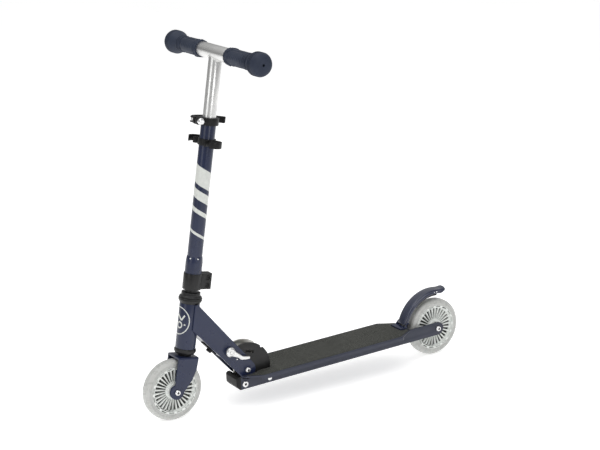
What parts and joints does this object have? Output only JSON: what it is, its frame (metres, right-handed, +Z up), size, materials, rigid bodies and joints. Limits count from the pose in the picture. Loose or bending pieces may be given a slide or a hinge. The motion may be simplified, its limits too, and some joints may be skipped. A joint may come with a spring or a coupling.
{
  "type": "kick scooter",
  "caption": "Folding kick scooter: slotted wheels, narrow deck with sprung rear brake, hinged neck and a telescopic T handlebar with pull-off grips.",
  "frame": {"origin": "on the ground, midway between the two wheel axles and between the scooter's sides", "axes": "+Z up, -Y is the direction of travel, +X is the rider's left"},
  "size_m": [0.342, 0.734, 0.7161],
  "materials": {
    "navy_paint": "semi-gloss dark navy powder coat",
    "dark_frame_paint": "satin dark blue-grey powder coat",
    "black_steel": "satin black powder coat",
    "black_plastic": "moulded black plastic",
    "grip_rubber": "moulded black rubber with raised ribs",
    "grip_tape": "coarse anti-slip surface",
    "silver_tube": "polished aluminium",
    "tyre_urethane": "clear-grey cast urethane",
    "hub_plastic": "moulded off-white plastic",
    "bright_steel": "bright zinc plated steel",
    "zinc_plate": "zinc plated steel",
    "bearing_steel": "ground steel"
  },
  "bodies": {
    "deck": {"deck_plate": "dark_frame_paint", "grip_tape": "grip_tape", "chassis_channel": "dark_frame_paint", "nose_cap": "black_plastic", "quadrant_left": "black_steel", "quadrant_right": "zinc_plate", "quadrant_spacers": "zinc_plate", "pivot_bolt": "bright_steel", "pivot_nut": "bright_steel", "chassis_bolts": "bright_steel", "rear_axle_bolt": "bright_steel", "rear_axle_nut": "bright_steel", "rear_axle_spacers": "zinc_plate", "brake_bracket": "navy_paint", "brake_pin": "bright_steel"},
    "neck": {"neck_beam": "navy_paint", "neck_strip": "black_plastic", "head_tube": "navy_paint", "lower_headset_cup": "black_steel", "upper_headset_cup": "black_steel", "headset_bearings": "bearing_steel"},
    "latch": {"latch_pin": "bright_steel", "latch_washers": "bright_steel", "latch_nut": "bright_steel"},
    "latch_handle": {"latch_lever": "silver_tube"},
    "column": {"fork": "navy_paint", "steerer_tube": "zinc_plate", "headset_nut": "black_steel", "column_tube": "navy_paint", "column_sleeve": "navy_paint", "double_clamp": "black_steel", "double_clamp_bolts": "black_steel", "top_collar": "black_plastic", "top_skewer": "bright_steel", "top_skewer_nut": "bright_steel", "top_lever_pin": "bright_steel", "clip_ring": "black_plastic", "front_axle_bolt": "bright_steel", "front_axle_nut": "bright_steel", "front_axle_spacers": "zinc_plate"},
    "collar_handle": {"top_lever": "black_plastic"},
    "stem": {"stem_tube": "silver_tube", "bar_sleeve": "silver_tube"},
    "left_handle": {"left_handle_tube": "zinc_plate", "left_grip": "grip_rubber"},
    "left_button": {"left_snap_button": "bright_steel"},
    "right_handle": {"right_handle_tube": "zinc_plate", "right_grip": "grip_rubber"},
    "right_button": {"right_snap_button": "bright_steel"},
    "brake": {"brake_lever": "navy_paint", "brake_pad": "black_plastic", "brake_spring": "bright_steel"},
    "front_wheel": {"front_tyre": "tyre_urethane", "front_hub": "hub_plastic", "front_bearings": "bearing_steel", "front_hub_spacer": "zinc_plate"},
    "rear_wheel": {"rear_tyre": "tyre_urethane", "rear_hub": "hub_plastic", "rear_bearings": "bearing_steel", "rear_hub_spacer": "zinc_plate"}
  },
  "joints": [
    {"name": "neck_fold", "type": "hinge", "parent": "deck", "child": "neck", "pos_m": [0, -0.153, 0.072], "axis": [-1, 0, 0], "range_deg": [0, 82]},
    {"name": "latch_slide", "type": "slide", "parent": "neck", "child": "latch", "axis": [0, -0.6455, 0.7638], "range_m": [-0.0055, 0]},
    {"name": "latch_lever_turn", "type": "hinge", "parent": "latch", "child": "latch_handle", "pos_m": [0, -0.19173, 0.11783], "axis": [1, 0, 0], "range_deg": [0, 120]},
    {"name": "steering", "type": "hinge", "parent": "neck", "child": "column", "pos_m": [0, -0.2975, 0], "axis": [0, 0.1619, 0.9868], "range_deg": [-90, 90]},
    {"name": "top_lever_open", "type": "hinge", "parent": "column", "child": "collar_handle", "pos_m": [-0.017, -0.22744, 0.57221], "axis": [0, 0.1619, 0.9868], "range_deg": [0, 120]},
    {"name": "stem_slide", "type": "slide", "parent": "column", "child": "stem", "axis": [0, 0.1619, 0.9868], "range_m": [-0.1, 0.085]},
    {"name": "left_handle_pull", "type": "slide", "parent": "stem", "child": "left_handle", "axis": [1, 0, 0], "range_m": [0, 0.06], "deforming": ["left_snap_button"]},
    {"name": "right_handle_pull", "type": "slide", "parent": "stem", "child": "right_handle", "axis": [-1, 0, 0], "range_m": [0, 0.06], "deforming": ["right_snap_button"]},
    {"name": "left_button_press", "type": "slide", "parent": "left_handle", "child": "left_button", "axis": [0, 0.1619, 0.9868], "range_m": [0, 0.004], "stiffness_N_per_m": 800, "springref_m": -0.002},
    {"name": "right_button_press", "type": "slide", "parent": "right_handle", "child": "right_button", "axis": [0, 0.1619, 0.9868], "range_m": [0, 0.004], "stiffness_N_per_m": 800, "springref_m": -0.002},
    {"name": "brake_press", "type": "hinge", "parent": "deck", "child": "brake", "pos_m": [0, 0.23504, 0.07928], "axis": [-1, 0, 0], "range_deg": [0, 6.4], "stiffness_Nm_per_rad": 1, "springref_deg": -17.19},
    {"name": "front_wheel_spin", "type": "hinge", "parent": "column", "child": "front_wheel", "pos_m": [0, -0.307, 0.06], "axis": [1, 0, 0], "continuous": true},
    {"name": "rear_wheel_spin", "type": "hinge", "parent": "deck", "child": "rear_wheel", "pos_m": [0, 0.307, 0.06], "axis": [1, 0, 0], "continuous": true}
  ]
}
